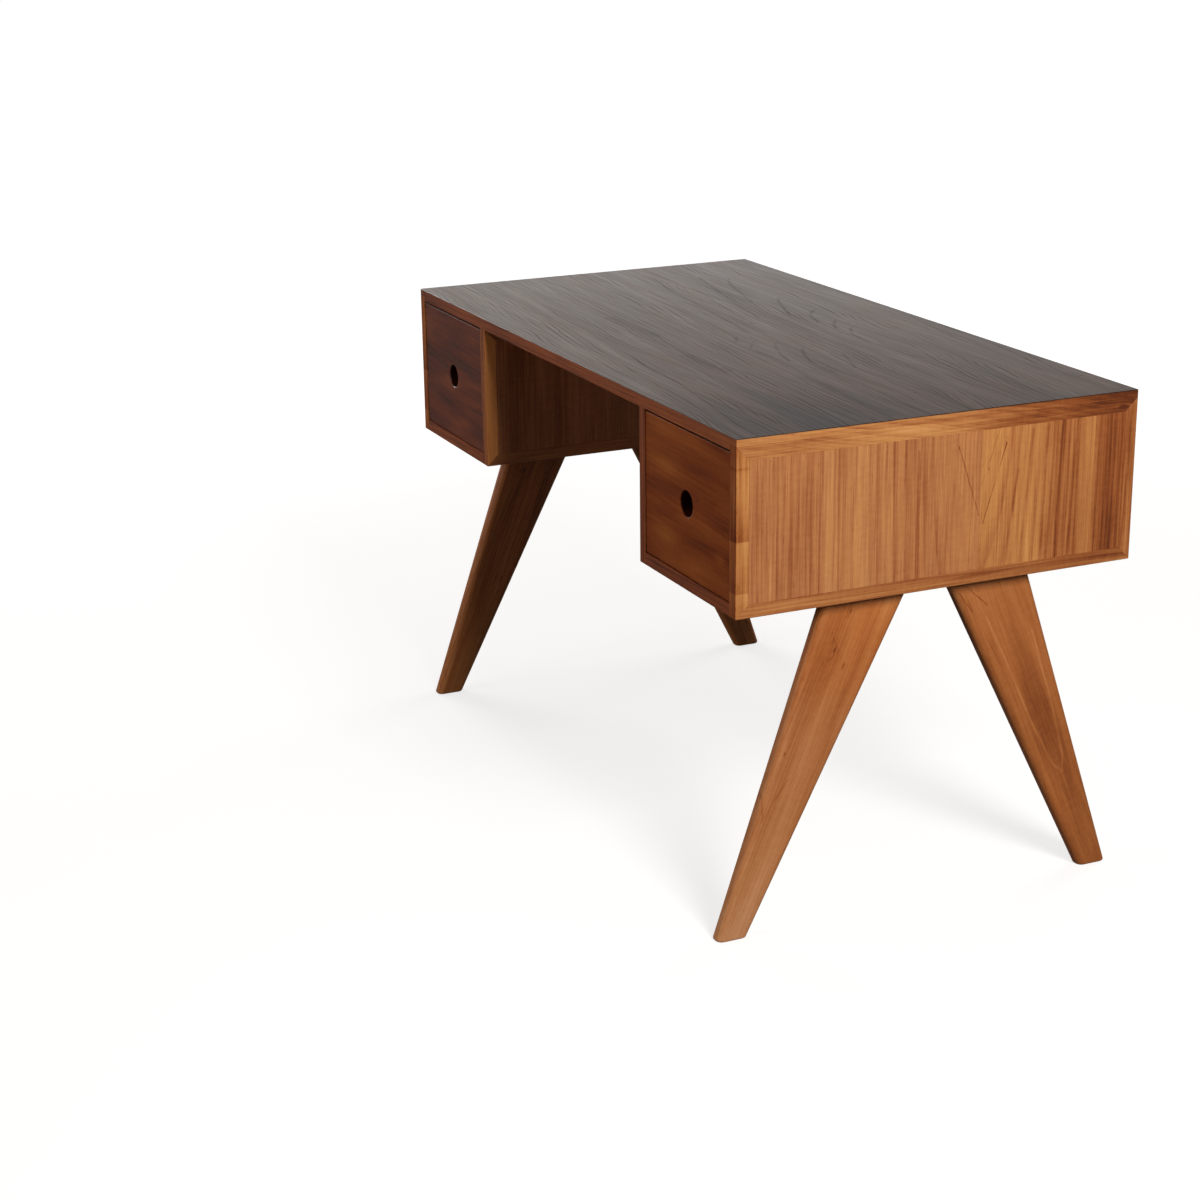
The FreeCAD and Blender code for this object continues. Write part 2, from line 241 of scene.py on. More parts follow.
def makeBoardTone():
    # lights and darks of a planed and lacquered board, from its growth rings and its fibres
    tree, given, result = newGroup("boardTone", [
        ("Place", "Vector", (0, 0, 0)), ("Rings", "Float", 0.0), ("Seed", "Float", 0.0),
        ("Bands", "Float", 0.2), ("Lines", "Float", 0.3), ("Fibres", "Float", 0.12),
        ("Pores", "Float", 0.2), ("Ripple", "Float", 0.05), ("Blotch", "Float", 0.1), ("Thin", "Float", 0.3),
        ("Patchy", "Float", 0.4), ("Coarse", "Float", 1.0)], ["Tone", "Blotch", "Grain", "Height"])
    place = shifted(tree, given["Place"], given["Seed"], ringShape["seedShift"])
    count = calc(tree, "MULTIPLY_ADD", given["Seed"], ringShape["seedRings"], given["Rings"])
    uneven = strand(tree, calc(tree, "MULTIPLY", count, ringShape["unevenPace"]))
    count = calc(tree, "MULTIPLY_ADD", uneven, ringShape["uneven"], count)
    within = calc(tree, "FRACT", count)
    late = between(tree, within, given["Thin"], ringShape["lateFull"])
    late = calc(tree, "MULTIPLY", late, inverse(tree, between(tree, within, *ringShape["lateEnd"])))
    ringNumber = calc(tree, "FLOOR", count)
    weight = strand(tree, calc(tree, "MULTIPLY", ringNumber, ringShape["weightPace"]))
    weight = calc(tree, "MULTIPLY_ADD", weight, ringShape["weight"], ringShape["weight"], clamp=True)
    faded = between(tree, cloud(tree, place, grainSize["fade"], 2.0), *ringShape["fade"])
    faded = calc(tree, "MULTIPLY", faded, given["Patchy"])
    weight = calc(tree, "MULTIPLY", weight, inverse(tree, faded))
    lines = calc(tree, "MULTIPLY", late, weight)
    bands = strand(tree, calc(tree, "MULTIPLY", count, ringShape["bandPace"]), 1.0)
    fine = vector(tree, "SCALE", place, scale=calc(tree, "DIVIDE", 1.0, given["Coarse"]))
    fibres = cloud(tree, fine, grainSize["fibre"], 1.5)
    streaks = cloud(tree, fine, grainSize["streak"], 1.5)
    fibres = calc(tree, "MULTIPLY_ADD", streaks, grainShare["streak"], fibres)
    pores = between(tree, cloud(tree, fine, grainSize["pore"], 1.0), *grainShare["pore"])
    ripple = cloud(tree, place, grainSize["ripple"], 1.0)
    blotch = cloud(tree, place, grainSize["blotch"], 2.0)
    tone = calc(tree, "MULTIPLY_ADD", bands, given["Bands"], grainShare["middleTone"])
    for part, name in ((fibres, "Fibres"), (ripple, "Ripple"), (blotch, "Blotch")):
        tone = calc(tree, "MULTIPLY_ADD", part, given[name], tone)
    for part, name in ((lines, "Lines"), (pores, "Pores")):
        tone = calc(tree, "SUBTRACT", tone, calc(tree, "MULTIPLY", part, given[name]))
    wire(tree, result["Tone"], tone)
    wire(tree, result["Blotch"], blotch)
    grain = calc(tree, "MULTIPLY_ADD", pores, grainShare["poreGrain"], lines)
    wire(tree, result["Grain"], calc(tree, "MULTIPLY_ADD", fibres, grainShare["fibreGrain"], grain))
    height = calc(tree, "MULTIPLY_ADD", streaks, grainShare["streakHeight"], grainShare["streakHeight"])
    groove = calc(tree, "MULTIPLY", lines, grainShare["lineDepth"])
    wire(tree, result["Height"], calc(tree, "SUBTRACT", height, groove))
    return tree


def makeEdgeShade():
    # 1 on the edges of a square-cut board, fading to 0 at the given width from them (metres)
    tree, given, result = newGroup("edgeShade", [
        ("Point", "Vector", (0, 0, 0)), ("Low", "Vector", (0, 0, 0)), ("High", "Vector", (1, 1, 1)),
        ("Width", "Float", 0.001)], ["Edge"])
    above = vector(tree, "SUBTRACT", given["Point"], given["Low"])
    below = vector(tree, "SUBTRACT", given["High"], given["Point"])
    x, y, z = split(tree, vector(tree, "MINIMUM", above, below))
    # the middle one of the three distances is the distance to the nearest edge
    low = calc(tree, "MINIMUM", x, y)
    high = calc(tree, "MAXIMUM", x, y)
    middle = calc(tree, "MAXIMUM", low, calc(tree, "MINIMUM", high, z))
    wire(tree, result["Edge"], inverse(tree, between(tree, middle, 0.0, given["Width"])))
    return tree


knotShape = {
    "squeeze": (0.36, 1.0, 0.15), "eye": (0.25, 1.05), "push": 1.6, "fall": -0.22,
    "ragged": (6, 3, 3), "raggedShare": 0.18,
}


def makeKnot():
    # a knot: pushes the rings aside and has a dark eye
    tree, given, result = newGroup("knot", [
        ("Place", "Vector", (0, 0, 0)), ("Centre", "Vector", (0, 0, 0)), ("Size", "Float", 5.0)],
        ["Push", "Eye"])
    offset = vector(tree, "SUBTRACT", given["Place"], given["Centre"])
    length = vector(tree, "LENGTH", vector(tree, "MULTIPLY", offset, knotShape["squeeze"]))
    length = calc(tree, "DIVIDE", length, given["Size"])
    ragged = cloud(tree, given["Place"], knotShape["ragged"], 2.0)
    length = calc(tree, "MULTIPLY_ADD", ragged, knotShape["raggedShare"], length)
    square = calc(tree, "MULTIPLY", length, length)
    fall = calc(tree, "EXPONENT", calc(tree, "MULTIPLY", square, knotShape["fall"]))
    wire(tree, result["Push"], calc(tree, "MULTIPLY", fall, knotShape["push"]))
    wire(tree, result["Eye"], inverse(tree, between(tree, length, *knotShape["eye"])))
    return tree


def makeGrainLine():
    # one straight piece of a grain line from start to end, 1 along its middle
    tree, given, result = newGroup("grainLine", [
        ("Place", "Vector", (0, 0, 0)), ("Start", "Vector", (0, 0, 0)), ("End", "Vector", (1, 0, 0)),
        ("Width", "Float", 1.5)], ["Line"])
    flat = vector(tree, "MULTIPLY", given["Place"], (1.0, 1.0, 0.0))
    offset = vector(tree, "SUBTRACT", flat, given["Start"])
    run = vector(tree, "SUBTRACT", given["End"], given["Start"])
    onRun = vector(tree, "DOT_PRODUCT", offset, run)
    square = vector(tree, "DOT_PRODUCT", run, run)
    share = calc(tree, "DIVIDE", onRun, square, clamp=True)
    foot = vector(tree, "SCALE", run, scale=share)
    away = vector(tree, "DISTANCE", offset, foot)
    wire(tree, result["Line"], inverse(tree, between(tree, away, 0.0, given["Width"])))
    return tree


drawnShape = {"waver": (40, 9, 9), "fade": (45, 12, 12), "fadeFrom": (-0.7, 0.2)}


def makeLineWaver():
    # how far grain lines stray across the board, and where they fade
    tree, given, result = newGroup("lineWaver", [
        ("Place", "Vector", (0, 0, 0)), ("Wobble", "Float", 2.0)], ["Waver", "Fade"])
    waver = cloud(tree, given["Place"], drawnShape["waver"], 1.0)
    wire(tree, result["Waver"], calc(tree, "MULTIPLY", waver, given["Wobble"]))
    fade = cloud(tree, given["Place"], drawnShape["fade"], 1.0)
    wire(tree, result["Fade"], between(tree, fade, *drawnShape["fadeFrom"]))
    return tree


def makePatch():
    # a spot, 1 inside its core and fading to 0 at its rim
    tree, given, result = newGroup("patch", [
        ("Place", "Vector", (0, 0, 0)), ("Centre", "Vector", (0, 0, 0)), ("Size", "Vector", (1, 1, 1)),
        ("Core", "Float", 0.0)], ["Patch"])
    offset = vector(tree, "SUBTRACT", given["Place"], given["Centre"])
    far = vector(tree, "LENGTH", vector(tree, "DIVIDE", offset, given["Size"]))
    wire(tree, result["Patch"], inverse(tree, between(tree, far, given["Core"], 1.0)))
    return tree


logRings = makeLogRings()
leafRings = makeLeafRings()
boardTone = makeBoardTone()
edgeShade = makeEdgeShade()
knotGroup = makeKnot()
grainLine = makeGrainLine()
lineWaver = makeLineWaver()
patchGroup = makePatch()
print("node groups made")


# Finishes: what every board of that wood has in common. Colours go from the darkest lines to the palest wood.

honeyVeneer = {
    "colours": [(0.0, (100, 47, 21)), (0.25, (147, 81, 41)), (0.5, (178, 114, 68)),
                (0.75, (200, 140, 84)), (1.0, (217, 164, 104))],
    "thin": 0.30, "bands": 0.25, "lines": 0.27, "fibres": 0.22, "pores": 0.28, "ripple": 0.06, "blotch": 0.22,
    "reddening": 0.3, "roughness": 0.42, "grainRoughness": 0.10, "coat": 0.10, "specular": 0.4, "bump": 0.05,
}
goldenLipping = {
    "colours": [(0.0, (94, 43, 17)), (0.25, (142, 77, 35)), (0.5, (178, 113, 62)),
                (0.75, (201, 141, 82)), (1.0, (216, 164, 106))],
    "thin": 0.3, "bands": 0.18, "lines": 0.24, "fibres": 0.22, "pores": 0.22, "ripple": 0.06, "blotch": 0.24,
    "reddening": 0.25, "roughness": 0.42, "grainRoughness": 0.10, "coat": 0.10, "specular": 0.4, "bump": 0.05,
    "edgeTone": -0.03,
}
amberLipping = {
    "colours": [(0.0, (90, 39, 17)), (0.25, (135, 65, 29)), (0.5, (168, 89, 41)),
                (0.75, (188, 111, 54)), (1.0, (206, 133, 72))],
    "thin": 0.3, "bands": 0.20, "lines": 0.28, "fibres": 0.28, "pores": 0.20, "ripple": 0.06, "blotch": 0.24,
    "reddening": 0.3, "roughness": 0.42, "grainRoughness": 0.10, "coat": 0.03, "specular": 0.38, "bump": 0.05,
}
frontBrown = {
    "colours": [(0.0, (62, 24, 7)), (0.25, (110, 47, 15)), (0.5, (145, 70, 24)),
                (0.75, (168, 91, 36)), (1.0, (188, 114, 52))],
    "thin": 0.45, "bands": 0.16, "lines": 0.10, "fibres": 0.13, "pores": 0.20, "ripple": 0.05, "blotch": 0.48,
    "reddening": 0.4, "roughness": 0.42, "grainRoughness": 0.12, "coat": 0.0, "specular": 0.12, "bump": 0.05,
}
darkTop = {
    "colours": [(0.0, (25, 13, 9)), (0.25, (54, 38, 30)), (0.5, (80, 63, 54)),
                (0.75, (100, 88, 81)), (1.0, (122, 112, 105))],
    "thin": 0.60, "bands": 0.22, "lines": 0.38, "fibres": 0.24, "pores": 0.30, "ripple": 0.02, "blotch": 0.20,
    "reddening": 0.7, "roughness": 0.345, "grainRoughness": 0.26, "coat": 0.0, "specular": 0.5, "bump": 0.06,
    "patchy": 0.75, "coarse": 1.1,
}
legTeak = {
    "colours": [(0.0, (88, 41, 17)), (0.25, (138, 74, 33)), (0.5, (172, 101, 50)),
                (0.75, (191, 124, 71)), (1.0, (207, 147, 98))],
    "thin": 0.35, "bands": 0.16, "lines": 0.28, "fibres": 0.28, "pores": 0.22, "ripple": 0.06, "blotch": 0.20,
    "reddening": 0.3, "roughness": 0.44, "grainRoughness": 0.10, "coat": 0.08, "specular": 0.4, "bump": 0.06,
}
plainInside = {
    "colours": [(0.0, (120, 78, 42)), (0.25, (158, 110, 66)), (0.5, (184, 138, 90)),
                (0.75, (204, 161, 112)), (1.0, (218, 180, 134))],
    "thin": 0.3, "bands": 0.16, "lines": 0.30, "fibres": 0.12, "pores": 0.12, "ripple": 0.03, "blotch": 0.10,
    "reddening": 0.1, "roughness": 0.55, "grainRoughness": 0.10, "coat": 0.0, "specular": 0.4, "bump": 0.08,
}
usual = {  # what a finish or a board need not say
    "origin": (0, 0, 0), "patchy": 0.4, "coarse": 1.0, "lift": 0.0, "wobble": 2.0, "eyeTone": -0.4,
    "edgeWidth": 0.001, "edgeTone": -0.07, "edgeRoughness": 0.0,
    "shading": [], "tints": [], "drawnLines": [], "patches": [], "knots": [],
}
lacquer = {  # the same on every board
    "redFrom": (-0.1, 0.55), "red": (1.0, 0.80, 0.66, 1.0), "gold": (1.0, 0.97, 0.84, 1.0),
    "drawnGrain": -0.4, "blotchRoughness": 0.03, "bumpStrength": 0.6, "coatRoughness": 0.25, "ior": 1.5,
}
millimetre = (0.001, 0.001, 0.001)


def turnTo(along, across):
    # the turn that lays the pattern's x along the grain and its y across the board's face
    u = Vector(along).normalized()
    w = u.cross(Vector(across)).normalized()
    v = w.cross(u)
    return Matrix((u, v, w)).transposed().to_euler()


def ringsOf(tree, place, look, seed):
    if "joint" in look:
        return useGroup(tree, leafRings, {
            "Place": place, "Joint": look["joint"], "Wander": look["wander"], "Seed": seed})
    return useGroup(tree, logRings, {
        "Place": place, "Heart": look["heart"], "Rise": look["rise"], "Spacing": look["spacing"],
        "Wander": look["wander"], "Seed": seed})


def drawLines(tree, place, curves, wobble):
    # single lines of grain, each through its points; they waver and fade together
    stray = useGroup(tree, lineWaver, {"Place": place, "Wobble": wobble})
    sideways = put(tree, "ShaderNodeCombineXYZ", {"Y": stray["Waver"]})
    bent = vector(tree, "ADD", place, sideways.outputs[0])
    drawn = 0.0
    for points, width, strength in curves:
        curve = 0.0
        for start, end in zip(points, points[1:]):
            piece = useGroup(tree, grainLine, {
                "Place": bent, "Start": (*start, 0), "End": (*end, 0), "Width": width})
            curve = calc(tree, "MAXIMUM", curve, piece["Line"])
        drawn = calc(tree, "MULTIPLY_ADD", curve, strength, drawn)
    return calc(tree, "MULTIPLY", drawn, stray["Fade"])


def boardMaterial(node, finish, board, seed):
    material, tree = newMaterial(node)
    tree.nodes.clear()
    look = {**usual, **finish, **board}
    point = tree.nodes.new("ShaderNodeTexCoord").outputs["Object"]
    place = put(tree, "ShaderNodeMapping", {
        "Vector": point, "Location": look["origin"], "Scale": millimetre,
        "Rotation": turnTo(look["along"], look["across"])}, vector_type="TEXTURE").outputs[0]
    axes = split(tree, place)

    # rings and knots
    rings = ringsOf(tree, place, look, seed)
    count = rings["Rings"]
    lines = look["lines"]
    if "joint" in look:
        lines = calc(tree, "MULTIPLY", rings["Calm"], lines)
    eyes = []
    for centre, size in look["knots"]:
        knot = useGroup(tree, knotGroup, {"Place": place, "Centre": centre, "Size": size})
        count = calc(tree, "ADD", count, knot["Push"])
        eyes.append(knot["Eye"])

    # tone
    toned = useGroup(tree, boardTone, {
        "Place": place, "Rings": count, "Seed": seed, "Lines": lines, "Bands": look["bands"],
        "Fibres": look["fibres"], "Pores": look["pores"], "Ripple": look["ripple"], "Blotch": look["blotch"],
        "Thin": look["thin"], "Patchy": look["patchy"], "Coarse": look["coarse"]})
    tone = calc(tree, "ADD", toned["Tone"], look["lift"])
    for axis, low, high, stops in look["shading"]:  # 0.5 leaves the tone as it is
        shade = ramp(tree, between(tree, axes[axis], low, high, smooth=False), stops, grey=True)
        tone = calc(tree, "ADD", tone, calc(tree, "SUBTRACT", shade, 0.5))
    grain = toned["Grain"]
    if look["drawnLines"]:
        drawn = drawLines(tree, place, look["drawnLines"], look["wobble"])
        tone = calc(tree, "ADD", tone, drawn)
        grain = calc(tree, "MULTIPLY_ADD", drawn, lacquer["drawnGrain"], grain)
    for centre, size, strength, core in look["patches"]:
        spot = useGroup(tree, patchGroup, {"Place": place, "Centre": centre, "Size": size, "Core": core})
        tone = calc(tree, "MULTIPLY_ADD", spot["Patch"], strength, tone)
    for eye in eyes:
        tone = calc(tree, "MULTIPLY_ADD", eye, look["eyeTone"], tone)
    lowCorner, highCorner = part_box(node)
    edge = useGroup(tree, edgeShade, {
        "Point": point, "Low": lowCorner, "High": highCorner, "Width": look["edgeWidth"]})["Edge"]
    tone = calc(tree, "MULTIPLY_ADD", edge, look["edgeTone"], tone)

    # colour
    colour = ramp(tree, tone, look["colours"])
    for axis, low, high, stops in look["tints"]:
        share = between(tree, axes[axis], low, high, smooth=False)
        colour = tinted(tree, 1.0, colour, ramp(tree, share, stops))
    if "joint" in look:  # the second leaf is more golden
        colour = tinted(tree, rings["Leaf"], colour, lacquer["gold"])
    reddish = between(tree, toned["Blotch"], *lacquer["redFrom"])
    colour = tinted(tree, calc(tree, "MULTIPLY", reddish, look["reddening"]), colour, lacquer["red"])

    # sheen
    roughness = calc(tree, "MULTIPLY_ADD", grain, look["grainRoughness"], look["roughness"])
    roughness = calc(tree, "MULTIPLY_ADD", toned["Blotch"], lacquer["blotchRoughness"], roughness)
    roughness = calc(tree, "MULTIPLY_ADD", edge, look["edgeRoughness"], roughness)
    bump = put(tree, "ShaderNodeBump", {
        "Strength": lacquer["bumpStrength"], "Distance": look["bump"] / 1000, "Height": toned["Height"]})
    shader = put(tree, "ShaderNodeBsdfPrincipled", {
        "Base Color": colour, "Roughness": roughness, "Normal": bump.outputs[0],
        "Coat Weight": look["coat"], "Coat Roughness": lacquer["coatRoughness"], "IOR": lacquer["ior"],
        "Specular IOR Level": look["specular"]})
    put(tree, "ShaderNodeOutputMaterial", {"Surface": shader.outputs[0]})
    giveMaterial(node, material)


alongX, alongY, alongZ = (1, 0, 0), (0, 1, 0), (0, 0, 1)
firstSeed, seedStep = 1.0, 0.37
dressed = []


def dress(node, finish, board):
    boardMaterial(node, finish, board, firstSeed + seedStep * len(dressed))
    dressed.append(node)


# Boards. Along and across turn the pattern; heart, rise, spacing and wander shape the rings.
# Shading and tints run between two places on an axis of the pattern.
# A patch has a centre, size, strength and core; a drawn line has points, width and strength.

# Places taken from the frame, in millimetres
leftEnd, rightEnd = span("top_veneer", "X")
frontFace, backFace = span("top_veneer", "Y")
topFace = span("top_veneer", "Z")[1]
panelFront, panelBack = span("right_outer_panel", "Y")
stripTop = span("right_outer_front_strip", "Z")[1]
underside = span("right_front_leg", "Z")[1]
drawerFace = -span("right_drawer_front", "Y")[0]

# Top: dark veneer with loops of flat-sawn grain near the back, and brown lippings
topVeneer = {
    "along": alongX, "across": alongY, "heart": (0, 900, 490), "rise": -0.09, "spacing": 7.0,
    "wander": 20.0, "edgeTone": -0.35, "edgeWidth": 0.002,
    # painted light and shade: the top is paler to the left and to the front and darker to the right,
    # following the sheen across it
    "shading": [
        ("X", leftEnd, rightEnd, [(0.0, 0.67), (0.5, 0.63), (0.75, 0.51), (1.0, 0.33)]),
        ("Y", frontFace, backFace, [(0.0, 0.62), (0.3, 0.50), (0.75, 0.48), (0.9, 0.54), (1.0, 0.46)])],
    # painted shade at the near right corner, painted light at the back right and at the front left
    "patches": [
        ((560, -220, topFace), (300, 240, 400), -0.26, 0.0),
        ((560, 300, topFace), (260, 130, 400), 0.12, 0.0),
        ((-470, -120, topFace), (300, 220, 400), 0.12, 0.0)],
    "wobble": 0.8, "drawnLines": [
        ([(-440, 202), (-400, 184), (-346, 168), (-226, 138)], 4.2, -0.38),
        ([(-236, 194), (-205, 178), (-162, 163), (-90, 138)], 4.2, -0.42),
        ([(-114, 196), (-96, 180), (-70, 166), (-18, 152)], 4.2, -0.42),
        ([(-26, 188), (-6, 173), (24, 158), (70, 143)], 4.2, -0.38),
        ([(36, 184), (56, 168), (90, 154), (150, 148), (280, 154)], 4.2, -0.34),
        ([(-478, 162), (-394, 142), (-250, 112), (-98, 84)], 4.2, -0.34),
        ([(-420, 110), (-250, 82), (-60, 52)], 3, -0.4), ([(-440, 70), (-250, 46), (0, 14)], 3, -0.35),
        ([(-400, 26), (-200, 4), (60, -26)], 3, -0.3), ([(206, 68), (250, 54), (300, 36)], 4.2, -0.30),
        ([(140, 34), (180, 14), (230, -2), (312, -8)], 4.2, -0.38),
        ([(90, 12), (125, -4), (165, -18), (215, -30)], 4.2, -0.34),
        ([(60, -8), (80, -24), (105, -38)], 4.2, -0.34), ([(20, -20), (60, -40)], 4.2, -0.30),
        ([(-210, -136), (-130, -140), (-50, -132)], 22, -0.20),
        ([(110, -152), (170, -150), (230, -142)], 18, -0.20),
        ([(330, -68), (460, -64), (580, -70)], 22, -0.16)],
}
topBoard = {
    "along": alongX, "across": alongY, "heart": (0, -120, 600), "rise": 0.03, "spacing": 8.0, "wander": 16.0,
}
frontLipping = {
    "along": alongX, "across": alongZ, "heart": (0, 780, 380), "rise": 0.01, "spacing": 4.5, "wander": 5.0,
    # painted shade: darker toward the left end, farther from the light
    "shading": [("X", leftEnd, rightEnd, [(0.0, 0.24), (0.25, 0.36), (0.5, 0.43), (1.0, 0.56)])],
}
endLipping = {
    "along": alongY, "across": alongZ, "heart": (0, 790, 560), "rise": -0.12, "spacing": 6.0, "wander": 6.0,
    # darker toward the back: painted shade where the light falls off, with darker streaks in the wood
    "shading": [("X", frontFace, backFace, [
        (0.0, 0.50), (0.35, 0.60), (0.55, 0.52), (0.62, 0.38), (0.75, 0.20), (0.80, 0.26), (0.88, 0.12),
        (1.0, 0.16)])],
}
dress("top_veneer", darkTop, topVeneer)
dress("top_board", honeyVeneer, topBoard)
dress("top_front_lipping", amberLipping, frontLipping)
dress("top_back_lipping", amberLipping, frontLipping)
dress("top_right_lipping", goldenLipping, endLipping)
dress("top_left_lipping", goldenLipping, endLipping)
print("top dressed")

# Framed sides: book-matched upright veneer in mitred strips, whose front edges carry painted shade, darker
# and redder
rimLow, rimHigh = frontFace - 0.2, frontFace + 0.8
# painted shade on the strips' front edges: a darker tone and a redder tint
paintedRimShade = [(0.0, 0.32), (0.4, 0.32), (1.0, 0.5)]
paintedRimRedness = [(0.0, (255, 234, 228)), (0.5, (255, 234, 228)), (1.0, (255, 255, 255))]
endPanel = {
    "along": alongZ, "across": alongY, "joint": 62.7, "wander": 3.0, "edgeTone": -0.02, "wobble": 1.0,
    "knots": [((698, 25, leftEnd), 1.3), ((696, 103, leftEnd), 1.3), ((662, 75, leftEnd), 1.1)],
    "drawnLines": [([(696, 103), (583, 68)], 1.4, -0.50), ([(654, 124), (517, 107)], 4.0, -0.22),
                   ([(712, 147), (517, 132)], 4.0, -0.24), ([(717, 172), (517, 168)], 4.0, -0.24),
                   ([(718, 197), (517, 192)], 4.0, -0.20), ([(718, 222), (517, 214)], 3.5, -0.18),
                   ([(720, 92), (640, 64)], 1.3, -0.26), ([(698, 25), (596, 61)], 1.3, -0.40),
                   ([(700, -40), (517, -36)], 4.0, -0.20)],
    # tone of the two leaves across the panel, and painted shade darkening toward the back
    "shading": [("Y", panelFront, panelBack, [
        (0.0, 0.47), (0.10, 0.45), (0.24, 0.50), (0.35, 0.55), (0.46, 0.51), (0.53, 0.46), (0.597, 0.41),
        (0.606, 0.60), (0.70, 0.61), (0.78, 0.54), (0.88, 0.39), (1.0, 0.24)])],
}
# the lift darkens the inner panels: partly the wood's tone, partly painted shade of the kneehole
innerPanel = {"along": alongZ, "across": alongY, "joint": -40.0, "wander": 4.0, "lift": -0.16, "lines": 0.10}
topStrip = {
    "along": alongY, "across": alongZ, "heart": (0, 770, 560), "rise": -0.13, "spacing": 5.0, "wander": 6.0,
    # the same painted shade toward the back as the end lipping
    "knots": [((300, 727, rightEnd), 4.0)], "shading": endLipping["shading"],
}
bottomStrip = {
    "along": alongY, "across": alongZ, "heart": (0, 470, 560), "rise": 0.015, "spacing": 5.0, "wander": 6.0,
    "lift": -0.14,
}
uprightStrip = {
    "along": alongZ, "across": alongY, "heart": (0, -360, -560), "rise": 0.02, "spacing": 5.0, "wander": 6.0,
    # painted shade on the front edge
    "shading": [("Y", rimLow, rimHigh, paintedRimShade)],
}
blockStrip = {  # short lengths jointed end to end, each brightest at its top
    **uprightStrip, "coat": 0.0, "specular": 0.15, "lift": 0.03,
    # painted shade on the front edge: redder and darker
    "tints": [("Y", rimLow, rimHigh, paintedRimRedness)],
    "shading": [("Y", rimLow, rimHigh, paintedRimShade), ("X", underside, stripTop, [
        (0.0, 0.46), (0.147, 0.66), (0.153, 0.42), (0.30, 0.52), (0.448, 0.62), (0.456, 0.32), (0.56, 0.44),
        (0.75, 0.56), (0.86, 0.52), (0.872, 0.36), (0.884, 0.52), (1.0, 0.44)])],
}
kneeStrip = {
    # painted light: this kneehole strip is lifted and paler than the same wood on the other side, and its
    # front edge gets strong painted shade
    **uprightStrip, "lift": 0.30,
    "colours": [(0.0, (90, 40, 18)), (0.25, (150, 84, 40)), (0.5, (196, 116, 58)), (1.0, (236, 156, 86))],
    "shading": [("Y", rimLow, rimHigh, [(0.0, 0.0), (0.4, 0.0), (1.0, 0.5)])],
}
# the lift darkens the back strips: painted shade toward the back
farStrip = {**uprightStrip, "heart": (0, 350, -560), "lift": -0.12}
for side in ("right_", "left_"):
    dress(side + "outer_panel", honeyVeneer, endPanel)
    dress(side + "inner_panel", honeyVeneer, innerPanel)
    dress(side + "outer_top_strip", goldenLipping, topStrip)
    dress(side + "outer_bottom_strip", goldenLipping, bottomStrip)
    dress(side + "outer_front_strip", goldenLipping, blockStrip)
    dress(side + "outer_back_strip", goldenLipping, farStrip)
    dress(side + "inner_top_strip", goldenLipping, bottomStrip)
    dress(side + "inner_bottom_strip", goldenLipping, bottomStrip)
    dress(side + "inner_back_strip", goldenLipping, uprightStrip)
dress("right_inner_front_strip", amberLipping, uprightStrip)
dress("left_inner_front_strip", amberLipping, kneeStrip)
print("framed sides dressed")

# Rest of the pedestals
bottomPanel = {
    "along": alongX, "across": alongY, "heart": (450, 100, 380), "rise": 0.02, "spacing": 7.0, "wander": 9.0,
}
bottomLipping = {
    "along": alongX, "across": alongZ, "heart": (0, 540, 380), "rise": 0.02, "spacing": 5.0, "wander": 5.0,
    "lift": -0.15,
}
backPanel = {
    "along": alongX, "across": alongZ, "heart": (450, 600, -420), "rise": 0.04, "spacing": 8.0,
    "wander": 14.0,
}
runner = {
    "along": alongY, "across": alongZ, "heart": (0, 700, 500), "rise": 0.01, "spacing": 4.0, "wander": 4.0,
}
for side in ("right_", "left_"):
    dress(side + "bottom_panel", honeyVeneer, bottomPanel)
    dress(side + "bottom_lipping", amberLipping, bottomLipping)
    dress(side + "back_panel", honeyVeneer, backPanel)
    dress(side + "outer_runner", plainInside, runner)
    dress(side + "inner_runner", plainInside, runner)
    dress(side + "drawer_stop", plainInside, runner)
print("pedestals dressed")

# Drawers: figured brown fronts, plain boxes
frontRim = {"width": 0.4, "fade": 2.5, "above": 1.5}  # millimetres, but the fade is in widths
# painted shade inside the finger hole of a drawer front
fingerHole = {"size": (20, 20, 4000), "tone": -0.6, "core": 0.97}


def frontGaps(node):
    # the narrow faces round a drawer front, in the shade of the gaps, are nearly black
    left, right = span(node, "X")
    top = span(node, "Z")[1]
    rim = frontRim["width"] / (right - left)
    fade = rim * frontRim["fade"]
    ends = [(0.0, 0.0), (rim, 0.0), (fade, 0.5), (1 - fade, 0.5), (1 - rim, 0.0), (1.0, 0.0)]
    above = [(0.0, 0.5), (0.6, 0.5), (0.75, 0.0), (1.0, 0.0)]
    return [("X", left, right, ends), ("Y", top - frontRim["above"], top, above)]


def holeShade(node):
    # painted shade: the inside of the finger hole in the middle of a drawer front is darkened
    centre = (sum(span(node, "X")) / 2, sum(span(node, "Z")) / 2, drawerFace)
    return (centre, fingerHole["size"], fingerHole["tone"], fingerHole["core"])


